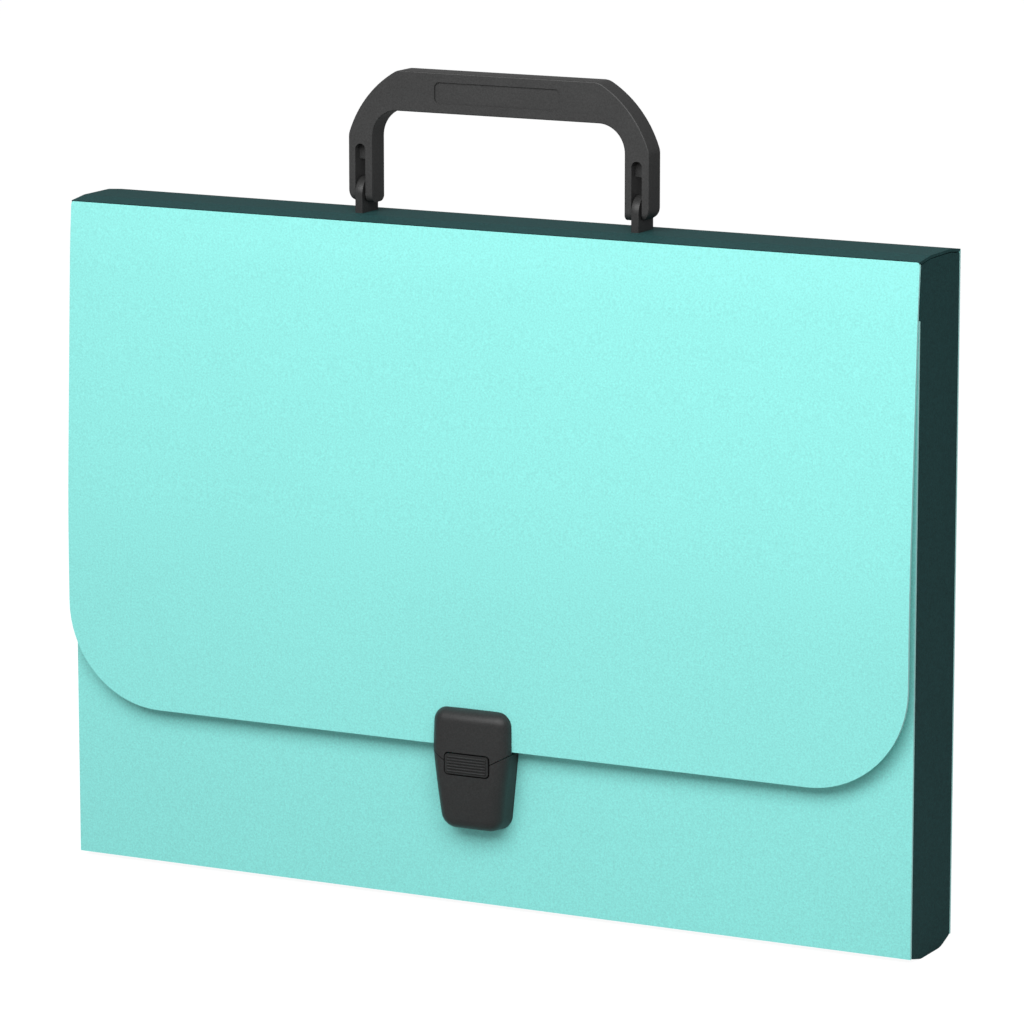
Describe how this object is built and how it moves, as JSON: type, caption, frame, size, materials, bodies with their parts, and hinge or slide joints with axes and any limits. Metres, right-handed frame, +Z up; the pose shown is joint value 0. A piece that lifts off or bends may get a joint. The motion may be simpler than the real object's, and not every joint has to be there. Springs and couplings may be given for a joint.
{
  "type": "portfolio folder",
  "caption": "Rigid A4 document case of plastic sheet with a folding flap, a swinging carry handle and a push lock.",
  "frame": {"origin": "middle of the flat band under the case, on the ground", "axes": "+X to the case's right along its width, -Y out of the front with the flap and lock, +Z up to the handle"},
  "size_m": [0.33, 0.0459, 0.2938],
  "materials": {
    "mint_sheet": "mint polypropylene sheet with a fine sand grain",
    "dark_teal_sheet": "dark teal polypropylene sheet with a fine sand grain",
    "black_moulding": "black moulded plastic, satin",
    "steel": "plain zinc plated steel"
  },
  "bodies": {
    "case": {"front_wall": "mint_sheet", "back_wall": "mint_sheet", "bottom_strip": "dark_teal_sheet", "left_gusset": "dark_teal_sheet", "right_gusset": "dark_teal_sheet", "lock_housing": "black_moulding", "lock_backplate": "black_moulding", "housing_screws": "steel", "button_spring": "steel"},
    "button": {"release_button": "black_moulding"},
    "spine": {"top_strip": "dark_teal_sheet", "left_handle_anchor": "black_moulding", "right_handle_anchor": "black_moulding"},
    "flap": {"flap": "mint_sheet", "lock_cover": "black_moulding", "cover_backplate": "black_moulding", "cover_screws": "steel"},
    "handle": {"handle": "black_moulding"}
  },
  "joints": [
    {"name": "spine_hinge", "type": "hinge", "parent": "case", "child": "spine", "pos_m": [0, 0.0175, 0.2417], "axis": [-1, 0, 0], "range_deg": [0, 90]},
    {"name": "flap_hinge", "type": "hinge", "parent": "spine", "child": "flap", "pos_m": [0, -0.0175, 0.2417], "axis": [-1, 0, 0], "range_deg": [0, 90]},
    {"name": "handle_swing", "type": "hinge", "parent": "spine", "child": "handle", "pos_m": [0, 0, 0.2495], "axis": [1, 0, 0], "range_deg": [-90, 90]},
    {"name": "button_press", "type": "slide", "parent": "case", "child": "button", "axis": [0, 1, 0], "range_m": [0, 0.002], "stiffness_N_per_m": 800, "deforming": ["button_spring"]}
  ]
}
